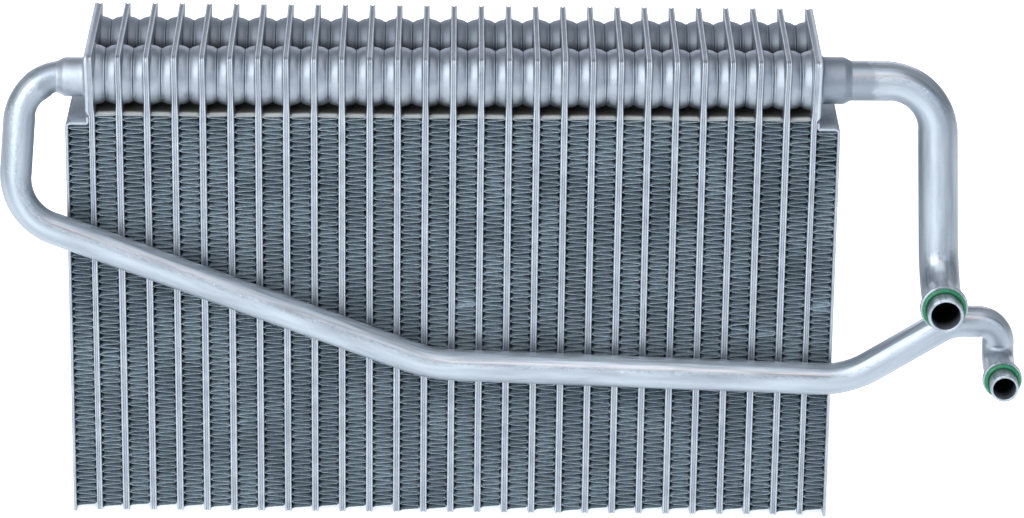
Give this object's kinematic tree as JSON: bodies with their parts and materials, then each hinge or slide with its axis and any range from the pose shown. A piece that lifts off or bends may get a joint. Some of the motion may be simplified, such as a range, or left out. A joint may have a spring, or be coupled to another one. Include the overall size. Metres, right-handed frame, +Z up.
{
  "type": "evaporator core",
  "caption": "Brazed aluminium plate-and-fin evaporator core with stacked cup tanks along its top and two bent pipes that end side by side in O-ring ports.",
  "frame": {"origin": "centre of the core's foot, on the lower edge of the middle plate pair", "axes": "+X across the core towards the outlet pipe's end, +Y the way the air goes through, from the pipes' face to the back, +Z up to the tanks"},
  "size_m": [0.4068, 0.1005, 0.198],
  "materials": {
    "brazed_plate": "satin, brazed",
    "fin_foil": "matt, coated",
    "drawn_tube": "satin, drawn",
    "seal_rubber": "smooth, oiled"
  },
  "bodies": {
    "root": {"plate_pair_01": "brazed_plate", "plate_pair_02": "brazed_plate", "plate_pair_03": "brazed_plate", "plate_pair_04": "brazed_plate", "plate_pair_05": "brazed_plate", "plate_pair_06": "brazed_plate", "plate_pair_07": "brazed_plate", "plate_pair_08": "brazed_plate", "plate_pair_09": "brazed_plate", "plate_pair_10": "brazed_plate", "plate_pair_11": "brazed_plate", "plate_pair_12": "brazed_plate", "plate_pair_13": "brazed_plate", "plate_pair_14": "brazed_plate", "plate_pair_15": "brazed_plate", "plate_pair_16": "brazed_plate", "plate_pair_17": "brazed_plate", "plate_pair_18": "brazed_plate", "plate_pair_19": "brazed_plate", "plate_pair_20": "brazed_plate", "plate_pair_21": "brazed_plate", "plate_pair_22": "brazed_plate", "plate_pair_23": "brazed_plate", "plate_pair_24": "brazed_plate", "plate_pair_25": "brazed_plate", "plate_pair_26": "brazed_plate", "plate_pair_27": "brazed_plate", "fin_01": "fin_foil", "fin_02": "fin_foil", "fin_03": "fin_foil", "fin_04": "fin_foil", "fin_05": "fin_foil", "fin_06": "fin_foil", "fin_07": "fin_foil", "fin_08": "fin_foil", "fin_09": "fin_foil", "fin_10": "fin_foil", "fin_11": "fin_foil", "fin_12": "fin_foil", "fin_13": "fin_foil", "fin_14": "fin_foil", "fin_15": "fin_foil", "fin_16": "fin_foil", "fin_17": "fin_foil", "fin_18": "fin_foil", "fin_19": "fin_foil", "fin_20": "fin_foil", "fin_21": "fin_foil", "fin_22": "fin_foil", "fin_23": "fin_foil", "fin_24": "fin_foil", "fin_25": "fin_foil", "fin_26": "fin_foil", "fin_27": "fin_foil", "fin_28": "fin_foil", "side_plate_left": "brazed_plate", "side_plate_right": "brazed_plate", "inlet_pipe": "drawn_tube", "outlet_pipe": "drawn_tube", "port_seals": "seal_rubber"}
  },
  "joints": []
}
